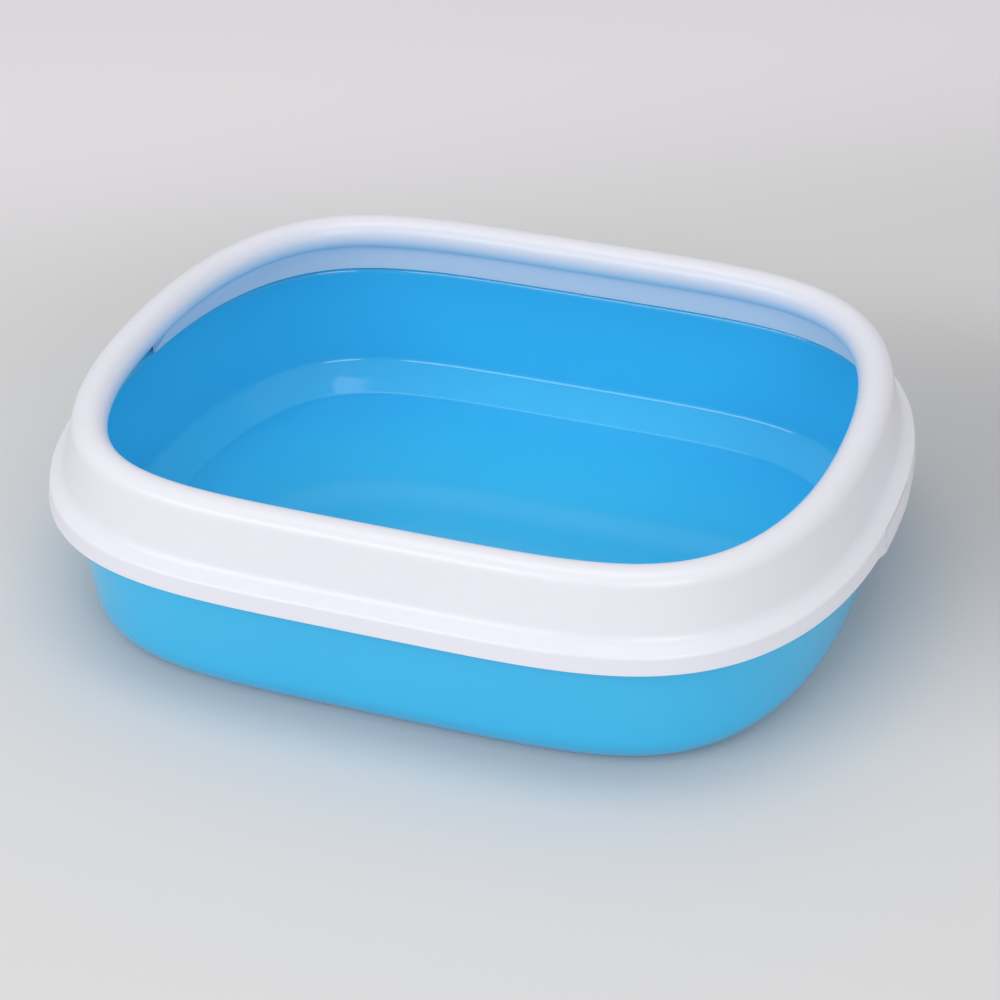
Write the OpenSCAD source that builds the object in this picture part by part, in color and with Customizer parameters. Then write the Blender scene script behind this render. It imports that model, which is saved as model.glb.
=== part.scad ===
// Open cat litter tray with a raised rim that drops over the tub's lip.
// X runs along the length, Y from front to back and Z up. The origin is on the
// floor, under the middle of the tray.
// Every wall is a section swept round one outline. A section point is [d, z]:
// d is the distance outside the outline and z is the height.

/* [Outline] */
// Length over the rim's skirt
skirt_l = 477.5; // [380:0.5:600]
// Width over the rim's skirt
skirt_w = 400; // [320:0.5:500]
// Squareness of the two ends, where 2 is an ellipse
square_l = 4.29; // [2:0.01:8]
// Squareness of the two long sides, where 2 is an ellipse
square_w = 2.24; // [2:0.01:8]

/* [Tub] */
// Height of the top of the tub's rolled lip
lip_z = 86.9; // [60:0.1:160]
// Thickness of the tub's wall
tub_wall = 2.4; // [1.5:0.1:4]
// Slope of the tub's wall from upright, in degrees
tub_draft = 7.4; // [2:0.1:15]
// Distance from the outline in to the tub's mouth
mouth_in = 15.4; // [12:0.1:25]
// Radius of the bend from the tub's wall into its lip
lip_r = 7.2; // [5:0.1:10]
// Thickness of the lip's turned-down edge
curl_wall = 1.8; // [1.2:0.1:3]
// Height of the turned-down edge's free end below the top of the lip
curl_drop = 7.7; // [5:0.1:12]
// Radius between the tub's wall and the ground
base_r = 23.7; // [10:0.1:40]
// Height of the floor's upper face
floor_z = 7; // [4:0.1:12]
// Thickness of the floor
floor_t = 2.6; // [1.5:0.1:4]
// Height of the sloped band between the floor and the wall
band_h = 16.5; // [8:0.1:30]
// Width of the sloped band, measured flat
band_w = 16.5; // [8:0.1:30]
// Hollow of the sloped band below a straight line across it
band_sag = 2; // [0:0.1:3.5]
// Width of the foot ring that the tub stands on
foot_w = 5; // [3:0.1:12]

/* [Rim] */
// Thickness of the rim's walls
rim_wall = 2.2; // [1.5:0.1:3]
// Height of the rim's bead above the top of the tub's lip
rim_rise = 39.4; // [20:0.1:80]
// Radius of the round bead along the top
bead_r = 10.1; // [6:0.1:14]
// Distance from the outline in to the middle of the bead
bead_in = 25.4; // [20:0.1:40]
// Distance from the outline in to the foot of the rim's tall wall
shoulder_in = 9; // [6:0.1:12]
// Slope of the shoulder from level, in degrees
shoulder_slope = 38.7; // [20:0.1:60]
// Lean of the skirt's outer face from its foot to the shoulder
skirt_lean = 1.4; // [0:0.1:3]
// Depth of the skirt below the top of the tub's lip
skirt_drop = 10.3; // [8:0.1:20]
// Direction from the bead's middle to where the inner leg leaves it
leg_turn = 225; // [200:1:250]
// Depth of the inner leg's tip below the top of the tub's lip
leg_drop = 1.3; // [0.5:0.1:6]

/* [Release tabs] */
// Width of each release tab
tab_w = 50; // [30:1:90]
// Depth of each tab's lower edge below the skirt's
tab_drop = 4.6; // [2:0.1:10]
// Length along the skirt over which its lower edge comes down to the tab
tab_ramp = 18; // [8:1:40]
// Height of the tab's hinge line below the shoulder's outer edge
hinge_drop = 2.2; // [1.8:0.1:3]

/* [Fits] */
// Gap between the rim's shoulder and the tub's lip
seat_gap = 0.5; // [0.3:0.05:2]
// Gap between the skirt and the lip's turned-down edge
curl_gap = 0.6; // [0.3:0.05:2]
// Gap between the inner leg's tip and the tub's mouth
leg_gap = 1.6; // [0.8:0.1:4]
// Gap between each release tab and the rim round it
tab_gap = 0.35; // [0.3:0.05:1]

/* [Output] */
// Piece to build

/* [Hidden] */
half_l = skirt_l / 2;
half_w = skirt_w / 2;
tub_colour = "#41b3ec";
rim_colour = "#eceaf2";

// Angle between sections round the outline
turn_step = 3.75;
// Points along a quarter or so of a bend
bend_n = 6;
// Points round the bead
bead_n = 12;
// Length of outline over which a slot's end is cut
cut_len = 0.1;
// Share of the inner leg that is left across its notch
stub = 0.06;

// Tub: the wall is a sloped line that ends where it meets the lip's bend
lip_c = [lip_r * cos(tub_draft) - mouth_in, lip_z - lip_r];
mouth_z = lip_c[1] + lip_r * sin(tub_draft);
function wall_in(z) = -mouth_in - (mouth_z - z) * tan(tub_draft);
function wall_out(z) = wall_in(z) + tub_wall / cos(tub_draft);
base_c = [wall_out(base_r) - base_r / cos(tub_draft), base_r];
band_z = floor_z + band_h;
band_d = wall_in(band_z);
curl_d = -rim_wall - skirt_lean - curl_gap;
curl_z = lip_z - curl_drop;

// Rim: the shoulder lies on the lip's bend, one gap and one wall away
slope_n = [sin(shoulder_slope), cos(shoulder_slope)];
lip_reach = slope_n * lip_c + lip_r + seat_gap;
function shoulder_z(d, reach) = (reach - slope_n[0] * d) / slope_n[1];
skirt_z = lip_z - skirt_drop;
edge_z = shoulder_z(-skirt_lean, lip_reach + rim_wall);
foot_z = shoulder_z(-shoulder_in, lip_reach + rim_wall);
bead_c = [-bead_in, lip_z + rim_rise - bead_r];
foot_to_bead = bead_c - [-shoulder_in, foot_z];
wall_turn = atan2(foot_to_bead[1], foot_to_bead[0]) - asin(bead_r / norm(foot_to_bead)) - 90;
wall_n = [cos(wall_turn), sin(wall_turn)];
leg_top = bead_c + bead_r * [cos(leg_turn), sin(leg_turn)];
leg_tip = [-mouth_in - leg_gap, lip_z - leg_drop];
leg_dir = (leg_tip - leg_top) / norm(leg_tip - leg_top);
leg_n = [-leg_dir[1], leg_dir[0]];
leg_back = bead_c + (bead_r - rim_wall) * [cos(leg_turn), sin(leg_turn)];
leg_back_tip = leg_tip + leg_n * rim_wall;
foot_in = wall_foot_in();

// Tabs: each hangs in a slot of the skirt, and bends about a line along Y at hinge_z
// in the middle of its own thickness
hinge_z = edge_z - hinge_drop;
tab_z = skirt_z - tab_drop;
tab_top = hinge_z + rim_wall / 4;
slot_top = tab_top + tab_gap;

// Where the inner face of the tall wall meets the underside of the shoulder
function wall_foot_in() =
    let(wall_k = wall_n * bead_c + bead_r - rim_wall,
        det = wall_n[0] * slope_n[1] - wall_n[1] * slope_n[0])
    [(wall_k * slope_n[1] - wall_n[1] * lip_reach) / det,
     (wall_n[0] * lip_reach - slope_n[0] * wall_k) / det];

function side(v) = v < 0 ? -1 : 1;

function bend(c, r, a0, a1, n) =
    [for (i = [0 : n]) let(a = a0 + (a1 - a0) * i / n) c + r * [cos(a), sin(a)]];

// Outer face of the skirt, which is upright below its own lower edge
function skirt_face(z) = -skirt_lean * max(0, z - skirt_z) / (edge_z - skirt_z);

// Point of the outline at angle t, and the direction straight out of it there
function outline(t) =
    [half_l * side(cos(t)) * pow(abs(cos(t)), 2 / square_l),
     half_w * side(sin(t)) * pow(abs(sin(t)), 2 / square_w)];
function outward(p) =
    let(v = [square_l / half_l * side(p[0]) * pow(abs(p[0]) / half_l, square_l - 1),
             square_w / half_w * side(p[1]) * pow(abs(p[1]) / half_w, square_w - 1)])
    v / norm(v);
function place(t, q) = let(p = outline(t), n = outward(p)) [p[0] + q[0] * n[0], p[1] + q[0] * n[1], q[1]];

// Angle at which the outline is y away from the middle of an end
function turn_at(y) = asin(pow(y / half_w, square_w / 2));

tab_turn = turn_at(tab_w / 2);
slot_turn = turn_at(tab_w / 2 + tab_gap);
cut_turn = turn_at(tab_w / 2 + tab_gap + cut_len);
ramp_turn = turn_at(tab_w / 2 + tab_gap + tab_ramp);
tab_mids = [0.25, 0.5, 0.75, 0.95] * tab_turn;
ramp_mid = (cut_turn + ramp_turn) / 2;
rest_n = ceil((90 - ramp_turn) / turn_step);
rest = [for (i = [1 : rest_n - 1]) ramp_turn + (90 - ramp_turn) * i / rest_n];
quarter = concat(tab_mids, [slot_turn, cut_turn, ramp_mid, ramp_turn], rest);
last = len(quarter) - 1;
back_quarter = [for (i = [last : -1 : 0]) 180 - quarter[i]];
half_turns = concat([0], quarter, [90], back_quarter);
turns = concat(half_turns, [for (t = half_turns) t + 180]);

// How far angle t lies round from the nearer end's middle
function from_end(t) = let(a = t % 180) min(a, 180 - a);

// Height of the skirt's lower edge at angle t
function skirt_low(t) =
    let(y = abs(outline(t)[1]) - tab_w / 2 - tab_gap)
    from_end(t) <= slot_turn + 0.001 ? slot_top
    : skirt_z - tab_drop * max(0, 1 - y / tab_ramp);

// Share of the inner leg that is there at angle t
function leg_share(t) = from_end(t) <= slot_turn + 0.001 ? stub : 1;

tub_section = concat(
    [[base_c[0] - foot_w, floor_z - floor_t]],
    [[base_c[0] - foot_w, 0]],
    bend(base_c, base_r, -90, -tub_draft, bend_n),
    bend(lip_c, lip_r - tub_wall, 180 - tub_draft,
         acos((curl_d - curl_wall - lip_c[0]) / (lip_r - tub_wall)), bend_n),
    [[curl_d - curl_wall, curl_z]],
    [[curl_d, curl_z]],
    bend(lip_c, lip_r, acos((curl_d - lip_c[0]) / lip_r), 180 - tub_draft, bend_n),
    [for (i = [0 : bend_n])
        let(u = i / bend_n, sag = band_sag * 4 * u * (1 - u) / norm([band_h, band_w]))
        [band_d - band_w * u + band_h * sag, band_z - band_h * u - band_w * sag]]);

function rim_section(low, share) = concat(
    [[skirt_face(low) - rim_wall, low]],
    [[skirt_face(low), low]],
    [[-skirt_lean, edge_z]],
    [[-shoulder_in, foot_z]],
    bend(bead_c, bead_r, wall_turn, leg_turn, bead_n),
    [leg_top + share * (leg_tip - leg_top)],
    [leg_back + share * (leg_back_tip - leg_back)],
    bend(bead_c, bead_r - rim_wall, leg_turn, wall_turn, bead_n),
    [foot_in],
    [[-skirt_lean - rim_wall, shoulder_z(-skirt_lean - rim_wall, lip_reach)]]);

tab_section = [
    [-rim_wall, tab_z],
    [0, tab_z],
    [0, skirt_z],
    [skirt_face(tab_top), tab_top],
    [skirt_face(tab_top) - rim_wall, tab_top],
    [-rim_wall, skirt_z]];

// Two triangles for each cell between neighbouring sections of n points
function skin(a, b, n, cells) =
    [for (j = [0 : cells - 1]) let(k = (j + 1) % n)
        each [[a * n + j, a * n + k, b * n + k], [a * n + j, b * n + k, b * n + j]]];

// An open section swept all the way round, closed by a flat face at each end
module swept_pan(section) {
    n = len(section);
    m = len(turns);
    points = [for (t = turns) for (q = section) place(t, q)];
    sides = [for (i = [0 : m - 1]) each skin(i, (i + 1) % m, n, n - 1)];
    under = [for (i = [0 : m - 1]) i * n];
    over = [for (i = [m - 1 : -1 : 0]) i * n + n - 1];
    polyhedron(points = points, faces = concat(sides, [under, over]), convexity = 6);
}

module tub() {
    color(tub_colour)
        swept_pan(tub_section);
}

module rim() {
    m = len(turns);
    sections = [for (t = turns) rim_section(skirt_low(t), leg_share(t))];
    n = len(sections[0]);
    points = [for (i = [0 : m - 1]) for (q = sections[i]) place(turns[i], q)];
    sides = [for (i = [0 : m - 1]) each skin(i, (i + 1) % m, n, n)];
    color(rim_colour)
        polyhedron(points = points, faces = sides, convexity = 6);
}

// The tongue that fills the slot at the +X end
module release_tab() {
    n = len(tab_section);
    spread = [-1, -0.75, -0.5, -0.25, 0, 0.25, 0.5, 0.75, 1] * tab_turn;
    m = len(spread);
    points = [for (t = spread) for (q = tab_section) place(t, q)];
    sides = [for (i = [0 : m - 2]) each skin(i, i + 1, n, n)];
    near = [for (j = [n - 1 : -1 : 0]) j];
    far = [for (j = [0 : n - 1]) (m - 1) * n + j];
    polyhedron(points = points, faces = concat(sides, [near, far]), convexity = 2);
}

module right_release_tab() {
    color(rim_colour)
        release_tab();
}

module left_release_tab() {
    color(rim_colour)
        rotate([0, 0, 180])
            release_tab();
}

tub();
rim();
left_release_tab();
right_release_tab();
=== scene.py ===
import math

import bpy
import numpy as np
from mathutils import Euler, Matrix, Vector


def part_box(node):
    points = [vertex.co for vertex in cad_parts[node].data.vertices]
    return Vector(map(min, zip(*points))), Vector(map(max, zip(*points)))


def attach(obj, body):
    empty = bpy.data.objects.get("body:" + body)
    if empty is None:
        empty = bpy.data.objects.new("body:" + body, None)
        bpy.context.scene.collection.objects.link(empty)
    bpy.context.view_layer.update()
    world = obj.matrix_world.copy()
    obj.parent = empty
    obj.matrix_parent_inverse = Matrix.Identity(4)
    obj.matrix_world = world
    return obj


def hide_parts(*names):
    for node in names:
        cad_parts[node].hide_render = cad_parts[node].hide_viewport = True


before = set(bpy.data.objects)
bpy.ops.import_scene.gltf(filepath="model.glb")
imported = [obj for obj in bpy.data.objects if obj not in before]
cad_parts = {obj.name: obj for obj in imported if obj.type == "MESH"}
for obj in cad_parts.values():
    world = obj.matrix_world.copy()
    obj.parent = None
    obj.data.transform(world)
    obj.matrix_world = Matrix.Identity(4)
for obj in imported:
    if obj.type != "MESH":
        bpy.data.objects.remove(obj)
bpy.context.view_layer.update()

mm = 0.001
rimHigh = np.array(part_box("rim")[1])
tubHigh = np.array(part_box("tub")[1])
tabLow, tabHigh = (np.array(corner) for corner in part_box("right_release_tab"))


# the outline that every wall follows
outline = {
    "halfLength": tabHigh[0],     # out to the skirt's face at the ends
    "halfWidth": rimHigh[1],
    "squareLength": 4.29,         # 2 would be an ellipse
    "squareWidth": 2.24,
    "stations": 480,
}


def outlineAt(turn):
    # x = a sgn(cos t)|cos t|^(2/n), y = b sgn(sin t)|sin t|^(2/m), and the unit gradient
    # of |x/a|^n + |y/b|^m, which points straight out
    a, b = outline["halfLength"], outline["halfWidth"]
    n, m = outline["squareLength"], outline["squareWidth"]
    c, s = np.cos(turn), np.sin(turn)
    x = a * np.sign(c) * np.abs(c) ** (2 / n)
    y = b * np.sign(s) * np.abs(s) ** (2 / m)
    nx = n / a * np.sign(x) * np.abs(x / a) ** (n - 1)
    ny = m / b * np.sign(y) * np.abs(y / b) ** (m - 1)
    size = np.hypot(nx, ny)
    return np.stack([x, y], -1), np.stack([nx / size, ny / size], -1)


def turnAt(y):
    # the turn t whose outline point is y away from the middle of the +X end
    return np.arcsin((np.asarray(y) / outline["halfWidth"]) ** (outline["squareWidth"] / 2))


def evenTurns(count):
    # turns whose outline points are the same length of wall apart
    dense = np.linspace(0, 2 * np.pi, 60001)
    xy, _ = outlineAt(dense)
    walked = np.concatenate([[0], np.cumsum(np.hypot(*np.diff(xy, axis=0).T))])
    return np.interp(np.linspace(0, walked[-1], count, endpoint=False), walked, dense)


def fourFold(turns):
    # the same places at both sides of both ends
    turns = np.asarray(turns)
    return np.concatenate([turns, np.pi - turns, np.pi + turns, 2 * np.pi - turns])


def swept(turns, section):
    # point(t, q) = outline(t) + d(q) * outward(t), with z(q) straight up
    xy, out = outlineAt(turns)
    section = np.broadcast_to(section, (len(turns),) + section.shape[-2:])
    flat = xy[:, None, :] + section[..., :1] * out[:, None, :]
    return np.concatenate([flat, section[..., 1:]], -1)


# a section is [d, z] points in metres, d outside the outline

def bend(centre, radius, start, end, count):
    # centre + radius (cos a, sin a), angles in degrees
    a = np.radians(np.linspace(start, end, count))
    return np.asarray(centre) + radius * np.stack([np.cos(a), np.sin(a)], -1)


def softened(corners, radii, closed, cuts=None, arcCount=8):
    # corner i gives way to the arc of radius r that touches both its sides, with its centre
    # r / sin(half angle) along the bisector; then each side gets points near both its ends
    corners, radii = np.asarray(corners, float), np.asarray(radii, float)
    count = len(corners)
    runs = []
    for i in range(count):
        if radii[i] == 0 or (not closed and i in (0, count - 1)):
            runs.append(corners[i:i + 1])
            continue
        u = corners[i - 1] - corners[i]
        v = corners[(i + 1) % count] - corners[i]
        u, v = u / np.linalg.norm(u), v / np.linalg.norm(v)
        half = math.acos(max(-1, min(1, float(u @ v)))) / 2
        middle = (u + v) / np.linalg.norm(u + v)
        centre = corners[i] + middle * radii[i] / math.sin(half)
        start = corners[i] + u * radii[i] / math.tan(half) - centre
        final = corners[i] + v * radii[i] / math.tan(half) - centre
        a0, a1 = math.atan2(start[1], start[0]), math.atan2(final[1], final[0])
        sweep = (a1 - a0 + math.pi) % (2 * math.pi) - math.pi
        a = a0 + sweep * np.linspace(0, 1, arcCount)
        runs.append(centre + radii[i] * np.stack([np.cos(a), np.sin(a)], -1))
    sides = count if closed else count - 1
    near = 0.35 * mm
    made, used = [], []
    for i in range(count):
        made.append(runs[i])
        if i >= sides:
            continue
        p, q = runs[i][-1], runs[(i + 1) % count][0]
        length = np.linalg.norm(q - p)
        inner = (0 if length < 3 * near else 2 + int(length / (5 * mm))) if cuts is None else cuts[i]
        used.append(inner)
        if inner:
            share = np.concatenate([[near / length], np.linspace(0, 1, inner)[1:-1], [1 - near / length]])
            made.append(p + share[:, None] * (q - p))
    return np.concatenate(made), used


def gridFaces(rows, columns, loopRows, loopColumns):
    # quads between neighbouring rows and columns, facing out of a wall swept anticlockwise
    i = np.arange(rows if loopRows else rows - 1)[:, None]
    j = np.arange(columns if loopColumns else columns - 1)[None, :]
    i2, j2 = (i + 1) % rows, (j + 1) % columns
    return np.stack([i * columns + j, i2 * columns + j, i2 * columns + j2, i * columns + j2], -1).reshape(-1, 4)


def meshPiece(name, points, faceSets, sharpAngle=38):
    mesh = bpy.data.meshes.new(name)
    points = np.ascontiguousarray(points.reshape(-1, 3), dtype=np.float32)
    loops = np.concatenate([faces.ravel() for faces in faceSets]).astype(np.int32)
    sizes = np.concatenate([np.full(len(faces), faces.shape[1]) for faces in faceSets])
    starts = np.concatenate([[0], np.cumsum(sizes)[:-1]]).astype(np.int32)
    mesh.vertices.add(len(points))
    mesh.vertices.foreach_set("co", points.ravel())
    mesh.loops.add(len(loops))
    mesh.loops.foreach_set("vertex_index", loops)
    mesh.polygons.add(len(sizes))
    mesh.polygons.foreach_set("loop_start", starts)
    mesh.polygons.foreach_set("use_smooth", np.ones(len(sizes), dtype=bool))
    mesh.update(calc_edges=True)
    mesh.validate()
    mesh.set_sharp_from_angle(angle=math.radians(sharpAngle))
    piece = bpy.data.objects.new(name, mesh)
    bpy.context.scene.collection.objects.link(piece)
    print(name, "has", len(points), "points and", len(sizes), "faces")
    return piece


class Wire:
    # a socket that adds, multiplies and so on by adding Math nodes
    def __init__(self, tree, socket=None):
        self.tree, self.socket = tree, socket

    def make(self, kind, settings, sockets, out=0):
        node = self.tree.nodes.new(kind)
        for key, value in settings.items():
            if key == "stops":
                ramp = node.color_ramp
                while len(ramp.elements) < len(value):
                    ramp.elements.new(0.5)
                for element, (at, colour) in zip(ramp.elements, value):
                    element.position, element.color = at, colour
            else:
                setattr(node, key, value)
        for key, value in sockets.items():
            if isinstance(value, Wire):
                self.tree.links.new(value.socket, node.inputs[key])
            else:
                node.inputs[key].default_value = value
        return Wire(self.tree, node.outputs[out] if len(node.outputs) else None)

    def maths(self, operation, first, second):
        return self.make("ShaderNodeMath", {"operation": operation}, {0: first, 1: second})

    def __add__(self, other):
        return self.maths("ADD", self, other)

    def __radd__(self, other):
        return self.maths("ADD", other, self)

    def __sub__(self, other):
        return self.maths("SUBTRACT", self, other)

    def __rsub__(self, other):
        return self.maths("SUBTRACT", other, self)

    def __mul__(self, other):
        return self.maths("MULTIPLY", self, other)

    def __rmul__(self, other):
        return self.maths("MULTIPLY", other, self)


def linear(r, g, b):
    # a screen colour of 0 to 255 as light, with full alpha
    share = [v / 255 for v in (r, g, b)]
    return tuple(s / 12.92 if s <= 0.04045 else ((s + 0.055) / 1.055) ** 2.4 for s in share) + (1.0,)


def mouldedPlastic(name, look):
    # moulded polypropylene: broad slow waves in the skin, a fine grain, faint cloudiness of colour
    material = bpy.data.materials.new(name)
    material.use_nodes = True
    tree = material.node_tree
    tree.nodes.clear()
    wire = Wire(tree)
    place = wire.make("ShaderNodeTexCoord", {}, {}, "Object")
    cloud = wire.make("ShaderNodeTexNoise", {}, {"Vector": place, "Scale": look["cloudScale"], "Detail": 3.0})
    grain = wire.make("ShaderNodeTexNoise", {}, {"Vector": place, "Scale": look["grainScale"], "Detail": 2.0})
    waves = wire.make("ShaderNodeTexNoise", {}, {"Vector": place, "Scale": look["waveScale"], "Detail": 1.0})
    smear = wire.make("ShaderNodeTexNoise", {}, {"Vector": place, "Scale": look["smearScale"], "Detail": 4.0})
    # sockets 0, 6 and 7 and output 2 are a colour Mix's factor, two colours and result
    colour = wire.make("ShaderNodeMix", {"data_type": "RGBA"}, {0: cloud, 6: look["deep"], 7: look["pale"]}, 2)
    rough = smear * (2 * look["roughSpread"]) + (look["rough"] - look["roughSpread"])
    height = waves * look["waveHeight"] + grain * look["grainHeight"]
    normal = wire.make("ShaderNodeBump", {}, {"Height": height, "Strength": 1.0, "Distance": 1.0})
    shader = wire.make("ShaderNodeBsdfPrincipled", {}, {
        "Base Color": colour,
        "Roughness": rough,
        "Normal": normal,
        "IOR": look["ior"],
        "Specular IOR Level": look["shine"],
        "Subsurface Weight": look["glow"],
        "Subsurface Radius": look["glowReach"],
        "Subsurface Scale": 0.001,
    })
    wire.make("ShaderNodeOutputMaterial", {}, {"Surface": shader})
    return material


tub = {
    "wall": 2.4 * mm,
    "draft": 7.4,                 # degrees from upright
    "mouthIn": 15.4 * mm,
    "lipRadius": 7.2 * mm,
    "lipTop": tubHigh[2],
    "curlOut": 4.2 * mm,          # outer face of the turned-down edge, inside the outline
    "curlWall": 1.8 * mm,
    "curlDrop": 7.7 * mm,
    "baseRadius": 23.7 * mm,
    "floorTop": 7 * mm,
    "floorWall": 2.6 * mm,
    "bandHeight": 16.5 * mm,
    "bandWidth": 16.5 * mm,
    "bandSag": 0.4 * mm,
    "footWidth": 5 * mm,
    "upperCrease": 9 * mm,
    "bandRound": 60 * mm,
    "lowerCrease": 3 * mm,
    "look": {
        "deep": linear(60, 190, 241), "pale": linear(66, 195, 245),
        "rough": 0.1, "roughSpread": 0.02, "ior": 1.49, "shine": 0.4, "glow": 0.0, "glowReach": (0.6, 1.2, 2.0),
        "cloudScale": 9, "grainScale": 1400, "waveScale": 38, "smearScale": 26,
        "waveHeight": 0.00006, "grainHeight": 0.0000025,
    },
}


def tubSection():
    # from under the floor, over the foot ring, up the outside, round the lip and down the inside
    s = tub
    lean = math.radians(s["draft"])
    lipCentre = np.array([s["lipRadius"] * math.cos(lean) - s["mouthIn"], s["lipTop"] - s["lipRadius"]])
    mouth = lipCentre[1] + s["lipRadius"] * math.sin(lean)

    def wallIn(z):
        return -s["mouthIn"] - (mouth - z) * math.tan(lean)

    def wallOut(z):
        return wallIn(z) + s["wall"] / math.cos(lean)

    baseD = wallOut(s["baseRadius"]) - s["baseRadius"] / math.cos(lean)
    under = s["floorTop"] - s["floorWall"]
    curlIn = -s["curlOut"] - s["curlWall"]
    curlZ = s["lipTop"] - s["curlDrop"]
    inner = s["lipRadius"] - s["wall"]
    innerEnd = math.degrees(math.acos((curlIn - lipCentre[0]) / inner))
    outerEnd = math.degrees(math.acos((-s["curlOut"] - lipCentre[0]) / s["lipRadius"]))
    bandTop = s["floorTop"] + s["bandHeight"]
    u = np.array([0, 0.5, 1])
    sag = s["bandSag"] * 4 * u * (1 - u) / math.hypot(s["bandHeight"], s["bandWidth"])
    band = np.stack([wallIn(bandTop) - s["bandWidth"] * u + s["bandHeight"] * sag,
                     bandTop - s["bandHeight"] * u - s["bandWidth"] * sag], -1)
    floorD = wallIn(bandTop) - s["bandWidth"]
    parts = [
        ([[baseD - s["footWidth"] - 4 * mm, under]], [0]),
        ([[baseD - s["footWidth"] - 0.4 * mm, under], [baseD - s["footWidth"], 0]], [1.2 * mm, 0.7 * mm]),
        (bend([baseD, s["baseRadius"]], s["baseRadius"], -90, -s["draft"], 26), 0),
        (bend(lipCentre, inner, 180 - s["draft"], innerEnd, 14), 0),
        ([[curlIn, curlZ], [-s["curlOut"], curlZ]], [0.5 * mm, 0.5 * mm]),
        (bend(lipCentre, s["lipRadius"], outerEnd, 180 - s["draft"], 26), 0),
        (band, [s["upperCrease"], s["bandRound"], s["lowerCrease"]]),
        ([[floorD - 5 * mm, s["floorTop"]]], [0]),
    ]
    corners = np.concatenate([np.asarray(points, float) for points, _ in parts])
    radii = np.concatenate([np.full(len(points), radius) if np.isscalar(radius) else radius for points, radius in parts])
    return softened(corners, radii, closed=False)[0]


def buildTub():
    turns = evenTurns(outline["stations"])
    section = tubSection()
    wall = swept(turns, section)
    # the floor and its underside: the last ring and the first one shrunk to the middle,
    # point(t, k) = ring(t) * k
    shrink = np.array([0.93, 0.8, 0.6, 0.4, 0.2, 0.04])
    grow = shrink[::-1]
    below = wall[:, :1] * np.stack([grow, grow, np.ones(len(grow))], -1)
    above = wall[:, -1:] * np.stack([shrink, shrink, np.ones(len(shrink))], -1)
    points = np.concatenate([below, wall, above], 1)
    rows, columns = points.shape[:2]
    faces = gridFaces(rows, columns, True, False)
    i = np.arange(rows)
    i2 = (i + 1) % rows
    poleLow, poleHigh = rows * columns, rows * columns + 1
    fanLow = np.stack([i2 * columns, i * columns, np.full(rows, poleLow)], -1)
    fanHigh = np.stack([i * columns + columns - 1, i2 * columns + columns - 1, np.full(rows, poleHigh)], -1)
    poles = np.array([[0, 0, section[0, 1]], [0, 0, section[-1, 1]]])
    points = np.concatenate([points.reshape(-1, 3), poles])
    piece = meshPiece("tubShell", points, [faces, fanLow, fanHigh])
    piece.data.materials.append(mouldedPlastic("skyBluePlastic", tub["look"]))
    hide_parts("tub")
    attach(piece, "tub")
    return piece


rim = {
    "wall": 2.2 * mm,
    "beadTop": rimHigh[2],
    "beadRadius": 10.1 * mm,
    "beadIn": 25.4 * mm,
    "shoulderIn": 9 * mm,
    "skirtLean": 1.4 * mm,
    "skirtFoot": tabLow[2] + 4.6 * mm,
    "shoulderSlope": 38.7,
    "seat": 0.5 * mm,             # gap over the tub's lip
    "legTurn": 250,               # where the ledge behind the bead starts
    "legIn": 20.4 * mm,           # the leg hangs from the ledge's outer end
    "ledgeDrop": 2.3 * mm,
    "legTip": [-17.0 * mm, tubHigh[2] - 1.3 * mm],
    "legStub": 0.08,
    "tabHalf": tabHigh[1],
    "tabDrop": 4.6 * mm,
    "tabRamp": 18 * mm,
    "slotGap": 0.12 * mm,
    "tabTop": tabHigh[2],
    "look": {
        "deep": linear(230, 230, 239), "pale": linear(235, 235, 243),
        "rough": 0.3, "roughSpread": 0.04, "ior": 1.49, "shine": 0.5, "glow": 0.5, "glowReach": (2.5, 2.5, 2.7),
        "cloudScale": 7, "grainScale": 1200, "waveScale": 30, "smearScale": 22,
        "waveHeight": 0.00005, "grainHeight": 0.000003,
    },
}


def rimPlaces():
    # the shoulder lies one gap and one wall outside the lip's bend; the tall wall runs from
    # the shoulder's foot so that it just touches the bead
    lean = math.radians(tub["draft"])
    lipCentre = np.array([tub["lipRadius"] * math.cos(lean) - tub["mouthIn"], tub["lipTop"] - tub["lipRadius"]])
    slope = math.radians(rim["shoulderSlope"])
    slopeOut = np.array([math.sin(slope), math.cos(slope)])
    reach = slopeOut @ lipCentre + tub["lipRadius"] + rim["seat"]
    bead = np.array([-rim["beadIn"], rim["beadTop"] - rim["beadRadius"]])

    def shoulder(d, distance):
        return (distance - slopeOut[0] * d) / slopeOut[1]

    foot = np.array([-rim["shoulderIn"], shoulder(-rim["shoulderIn"], reach + rim["wall"])])
    edge = np.array([-rim["skirtLean"], shoulder(-rim["skirtLean"], reach + rim["wall"])])
    toBead = bead - foot
    wallTurn = math.degrees(math.atan2(toBead[1], toBead[0]) - math.asin(rim["beadRadius"] / np.linalg.norm(toBead))) - 90
    wallOut = np.array([math.cos(math.radians(wallTurn)), math.sin(math.radians(wallTurn))])
    inner = np.linalg.solve([wallOut, slopeOut], [wallOut @ bead + rim["beadRadius"] - rim["wall"], reach])
    innerEdge = -rim["skirtLean"] - rim["wall"]
    return {"bead": bead, "foot": foot, "edge": edge, "wallTurn": wallTurn, "footIn": inner,
            "edgeIn": np.array([innerEdge, shoulder(innerEdge, reach)])}


def skirtFace(z, places):
    # the skirt leans in from its foot to the shoulder's edge, and hangs upright below its foot
    rise = max(0, z - rim["skirtFoot"]) / (places["edge"][1] - rim["skirtFoot"])
    return -rim["skirtLean"] * rise


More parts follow.
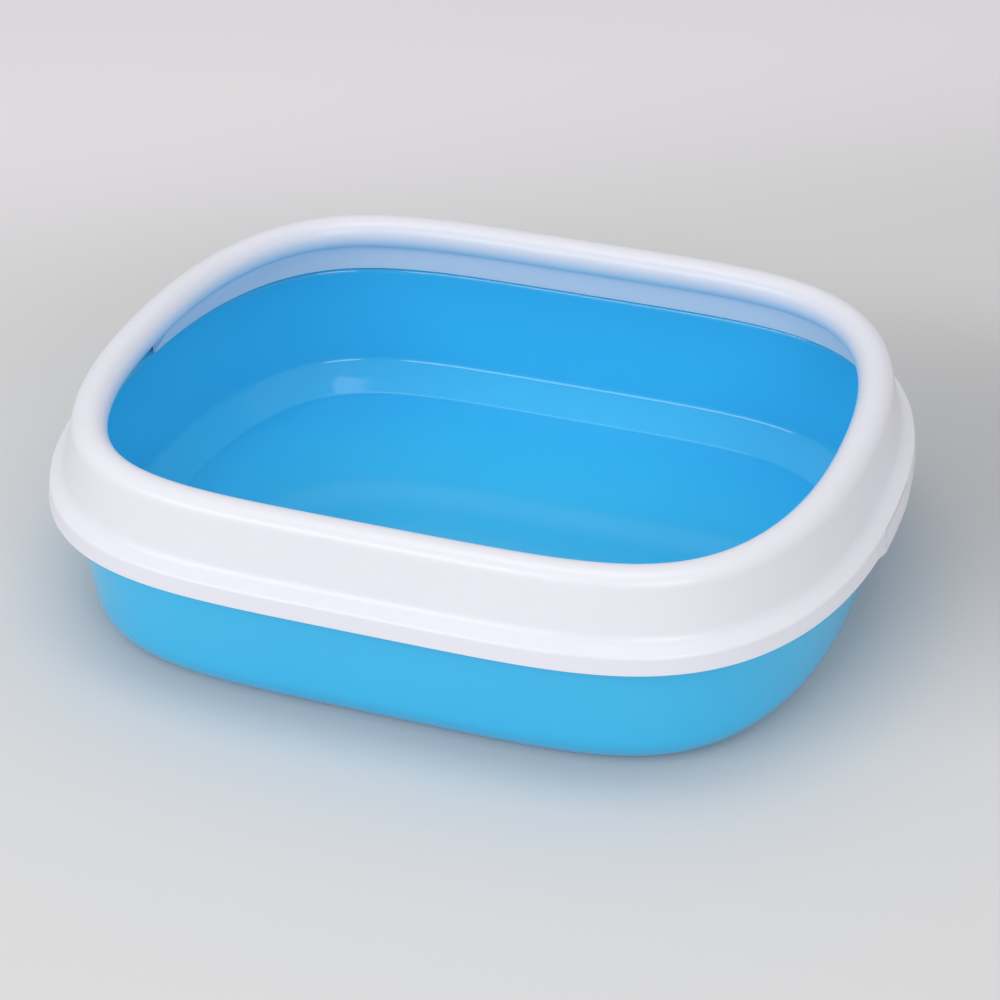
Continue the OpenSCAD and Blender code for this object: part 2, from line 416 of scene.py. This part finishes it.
def rimSection(low, share, cuts=None):
    # once round the rim's wall: skirt, shoulder, tall wall, bead, ledge, inner leg and back inside
    p = rimPlaces()
    turned = np.array([math.cos(math.radians(rim["legTurn"])), math.sin(math.radians(rim["legTurn"]))])
    legTop = p["bead"] + rim["beadRadius"] * turned
    legBack = p["bead"] + (rim["beadRadius"] - rim["wall"]) * turned
    legTip = np.array(rim["legTip"])
    legBend = np.array([-rim["legIn"], legTop[1] - rim["ledgeDrop"]])
    tipBack = legTip + np.array([0.85, 0.1]) * rim["wall"]
    bendBack = legBend + np.array([1, 1]) * rim["wall"]
    face = skirtFace(low, p)
    soft = 0.7 * mm * share
    parts = [
        ([[face - rim["wall"], low]], 0.5 * mm),
        ([[face, low]], 0.8 * mm),
        (p["edge"][None], 3.0 * mm),
        (p["foot"][None], 11.0 * mm),
        (bend(p["bead"], rim["beadRadius"], p["wallTurn"], rim["legTurn"], 44), 0),
        (legTop + share * (np.stack([legBend, legTip]) - legTop), soft),
        (legBack + share * (np.stack([tipBack, bendBack]) - legBack), soft),
        (bend(p["bead"], rim["beadRadius"] - rim["wall"], rim["legTurn"], p["wallTurn"], 22), 0),
        (p["footIn"][None], 8.0 * mm),
        (p["edgeIn"][None], 0.9 * mm),
    ]
    corners = np.concatenate([np.asarray(points, float) for points, _ in parts])
    radii = np.concatenate([np.full(len(points), radius) for points, radius in parts])
    return softened(corners, radii, closed=True, cuts=cuts)


def buildRim():
    full, cuts = rimSection(rim["skirtFoot"], 1)
    lowered, _ = rimSection(rim["skirtFoot"] - rim["tabDrop"], 1, cuts)
    slotted, _ = rimSection(rim["tabTop"] + rim["slotGap"], 1, cuts)
    legless, _ = rimSection(rim["skirtFoot"], rim["legStub"], cuts)
    slotEnd = rim["tabHalf"] + rim["slotGap"]
    hair = 0.02 * mm
    legEnd = slotEnd + np.array([0, 0.02, 0.15, 0.45, 0.9, 1.6, 2.4]) * mm
    skirtEnd = slotEnd + np.array([0, 0.02]) * mm
    rampEnd = slotEnd + rim["tabRamp"]
    extra = np.concatenate([legEnd, skirtEnd, slotEnd + np.linspace(0, rim["tabRamp"], 9)[1:], [slotEnd - 0.5 * mm]])
    turns = np.unique(np.round(np.concatenate([evenTurns(outline["stations"]), fourFold(turnAt(extra))]), 9) % (2 * np.pi))
    # how far along the end wall each station is, and what is cut away there
    y = np.abs(outlineAt(turns)[0][:, 1])
    inSlot = np.where(y <= slotEnd + hair / 2, 1.0, 0.0)
    ramp = np.clip(1 - (y - slotEnd) / (rampEnd - slotEnd), 0, 1)
    ramp = np.where(inSlot > 0, 0, ramp * ramp * (3 - 2 * ramp))
    corner = np.clip((y - slotEnd) / (2.4 * mm), 0, 1)
    legGone = np.where(inSlot > 0, 1.0, 0.06 * (1 - np.sqrt(1 - (1 - corner) ** 2)))
    weights = [(ramp, lowered), (inSlot, slotted), (legGone, legless)]
    section = full[None] + sum(w[:, None, None] * (shape - full)[None] for w, shape in weights)
    points = swept(turns, section)
    rows, columns = points.shape[:2]
    piece = meshPiece("rimShell", points, [gridFaces(rows, columns, True, True)])
    piece.data.materials.append(whitePlastic)
    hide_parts("rim")
    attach(piece, "rim")
    return piece


def buildTab(node, side):
    # the tongue that hangs in the skirt's slot; the left one is the right one turned half round
    p = rimPlaces()
    low, top = rim["skirtFoot"] - rim["tabDrop"], rim["tabTop"]
    topFace = skirtFace(top, p)
    corners = [[-rim["wall"], low], [0, low], [0, rim["skirtFoot"]], [topFace, top],
               [topFace - rim["wall"], top], [-rim["wall"], rim["skirtFoot"]]]
    section, _ = softened(corners, np.array([0.5, 0.8, 3.0, 0.12, 0.4, 3.0]) * mm, closed=True)
    y = np.linspace(-1, 1, 49)
    turns = np.sign(y) * turnAt(np.abs(y) * rim["tabHalf"])
    points = swept(turns, section)
    rows, columns = points.shape[:2]
    faces = gridFaces(rows, columns, False, True)
    middle = points.mean(1)
    near, far = rows * columns, rows * columns + 1
    j = np.arange(columns)
    j2 = (j + 1) % columns
    caps = np.concatenate([
        np.stack([j, j2, np.full(columns, near)], -1),
        np.stack([(rows - 1) * columns + j2, (rows - 1) * columns + j, np.full(columns, far)], -1),
    ])
    points = np.concatenate([points.reshape(-1, 3), middle[:1], middle[-1:]])
    if side < 0:
        points[:, :2] *= -1
    piece = meshPiece(node.replace("_release_tab", "ReleaseTab"), points, [faces, caps])
    piece.data.materials.append(whitePlastic)
    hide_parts(node)
    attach(piece, node)
    return piece


whitePlastic = mouldedPlastic("whitePlastic", rim["look"])
buildTub()
print("tub built")
buildRim()
print("rim built")
buildTab("right_release_tab", 1)
buildTab("left_release_tab", -1)
print("release tabs built")


studio = {
    "floorNear": (0.715, 0.71, 0.705, 1),
    "floorPaintedLight": (0.9, 0.87, 0.885, 1),     # painted light: brighter towards the back left, standing in for a lit rising sweep
    # painted shadow: the floor colour in the darkened patch right of and behind the tub
    "floorPaintedShadow": (0.48, 0.48, 0.48, 1),
    "paintedLightStart": 0.3, "paintedLightEnd": 0.92,       # the painted light fades in along y - 0.6 x
    # where the painted shadow lies, how far it reaches and how strongly it darkens the floor
    "paintedShadowPlace": (0.27, 0.2, 0.0), "paintedShadowReach": 0.34, "paintedShadowShare": 0.7,
    "floorReach": 6.0,
    "worldColour": linear(246, 246, 248),
    "worldStrength": 0.62,
    "lamps": [
        # name, place, looks at, width, height, watts
        ("overheadLamp", (0.0, -0.3, 2.1), (0.0, 0.0, 0.0), 1.6, 0.9, 9),
        ("leftLamp", (-0.97, -1.9, 1.26), (0.0, 0.0, 0.05), 1.9, 0.5, 14.5),
        ("rightLamp", (1.3, -1.7, 1.2), (0.0, 0.0, 0.05), 1.1, 0.5, 9.5),
    ],
}


def buildFloor():
    # a flat square, point(u, v) = reach (u, v)
    u = np.linspace(-1, 1, 9) * studio["floorReach"]
    x, y = np.meshgrid(u, u, indexing="ij")
    points = np.stack([x, y, np.zeros_like(x)], -1)
    piece = meshPiece("studioFloor", points, [gridFaces(9, 9, False, False)])
    material = bpy.data.materials.new("studioPaper")
    material.use_nodes = True
    tree = material.node_tree
    tree.nodes.clear()
    wire = Wire(tree)
    place = wire.make("ShaderNodeTexCoord", {}, {}, "Object")
    x = wire.make("ShaderNodeSeparateXYZ", {}, {"Vector": place}, "X")
    y = wire.make("ShaderNodeSeparateXYZ", {}, {"Vector": place}, "Y")
    smooth = {"interpolation_type": "SMOOTHERSTEP"}
    # painted light: the floor turns to the brighter colour towards the back left
    far = wire.make("ShaderNodeMapRange", smooth,
                    {"Value": y - x * 0.6, "From Min": studio["paintedLightStart"], "From Max": studio["paintedLightEnd"]})
    # painted shadow: the floor darkens round a spot right of and behind the tub
    away = wire.make("ShaderNodeVectorMath", {"operation": "DISTANCE"}, {0: place, 1: studio["paintedShadowPlace"]}, "Value")
    paintedShadow = wire.make("ShaderNodeMapRange", smooth,
                    {"Value": away, "From Min": studio["paintedShadowReach"], "From Max": 0.0, "To Max": studio["paintedShadowShare"]})
    colour = wire.make("ShaderNodeMix", {"data_type": "RGBA"}, {0: far, 6: studio["floorNear"], 7: studio["floorPaintedLight"]}, 2)
    colour = wire.make("ShaderNodeMix", {"data_type": "RGBA"}, {0: paintedShadow, 6: colour, 7: studio["floorPaintedShadow"]}, 2)
    shader = wire.make("ShaderNodeBsdfPrincipled", {},
                       {"Base Color": colour, "Roughness": 0.6, "Specular IOR Level": 0.2})
    wire.make("ShaderNodeOutputMaterial", {}, {"Surface": shader})
    piece.data.materials.append(material)


def buildLamps():
    for name, place, target, width, height, power in studio["lamps"]:
        lamp = bpy.data.lights.new(name, "AREA")
        lamp.shape = "RECTANGLE"
        lamp.size, lamp.size_y, lamp.energy = width, height, power
        thing = bpy.data.objects.new(name, lamp)
        thing.location = place
        thing.visible_camera = False
        away = np.array(place) - np.array(target)
        thing.rotation_euler = (math.atan2(math.hypot(away[0], away[1]), away[2]), 0, math.atan2(away[0], -away[1]))
        bpy.context.scene.collection.objects.link(thing)
    world = bpy.data.worlds.new("studioAir")
    world.use_nodes = True
    back = world.node_tree.nodes["Background"]
    back.inputs["Color"].default_value = studio["worldColour"]
    back.inputs["Strength"].default_value = studio["worldStrength"]
    bpy.context.scene.world = world


def buildCamera():
    view = {"place": (0.46056, -1.28502, 0.88265), "down": 31.632, "round": 19.436, "lens": 99.652}
    camera = bpy.data.cameras.new("studioCamera")
    camera.sensor_width, camera.lens = 36, view["lens"]
    camera.clip_start, camera.clip_end = 0.05, 50
    thing = bpy.data.objects.new("studioCamera", camera)
    thing.location = view["place"]
    thing.rotation_euler = Euler((math.radians(90 - view["down"]), 0, math.radians(view["round"])))
    bpy.context.scene.collection.objects.link(thing)
    bpy.context.scene.camera = thing


buildFloor()
buildLamps()
buildCamera()
bpy.context.scene.view_settings.view_transform = "Standard"
print("studio built")
